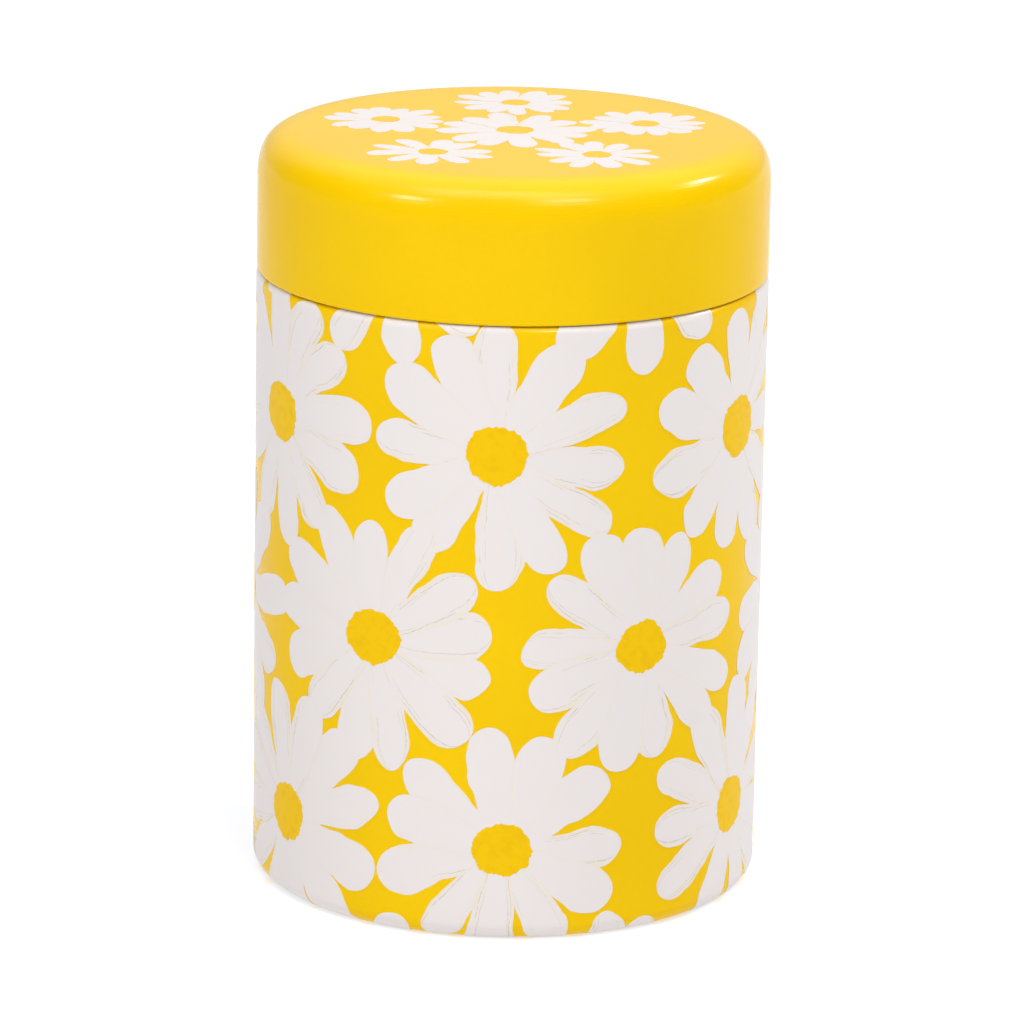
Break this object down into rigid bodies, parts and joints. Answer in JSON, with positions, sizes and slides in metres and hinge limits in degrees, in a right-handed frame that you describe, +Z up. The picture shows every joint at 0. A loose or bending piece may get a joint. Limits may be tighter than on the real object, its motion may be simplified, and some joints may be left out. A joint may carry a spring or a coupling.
{
  "type": "coffee tin",
  "caption": "Round printed tinplate storage tin with a push-on lid over an inner aroma lid, for keeping ground coffee dry.",
  "frame": {"origin": "on the ground at the middle of the foot", "axes": "+Z up along the tin's axis, front at -Y, side seam at +Y"},
  "size_m": [0.09, 0.09, 0.134],
  "materials": {
    "body_lacquer": "printed lacquer, satin gloss",
    "lid_lacquer": "printed lacquer, satin gloss",
    "print_white": "white printing ink, satin gloss",
    "print_yellow": "yellow printing ink, satin gloss",
    "tinplate": "bright tinplate",
    "inner_lid_tinplate": "bright tinplate",
    "seal_compound": "matte sealing compound",
    "gasket_silicone": "translucent silicone",
    "knob_aluminium": "turned, satin",
    "screw_steel": "zinc plated"
  },
  "bodies": {
    "tin_body": {"body_shell": "body_lacquer", "neck_sleeve": "tinplate", "base_plate": "tinplate", "base_seal": "seal_compound"},
    "inner_lid": {"inner_lid_plate": "inner_lid_tinplate", "inner_lid_gasket": "gasket_silicone", "knob": "knob_aluminium", "knob_washer": "screw_steel", "knob_screw": "screw_steel"},
    "outer_lid": {"lid_shell": "lid_lacquer"}
  },
  "joints": [
    {"name": "inner_lid_lift", "type": "slide", "parent": "tin_body", "child": "inner_lid", "axis": [0, 0, 1], "range_m": [0, 0.03]},
    {"name": "outer_lid_lift", "type": "slide", "parent": "inner_lid", "child": "outer_lid", "axis": [0, 0, 1], "range_m": [0, 0.045]}
  ]
}
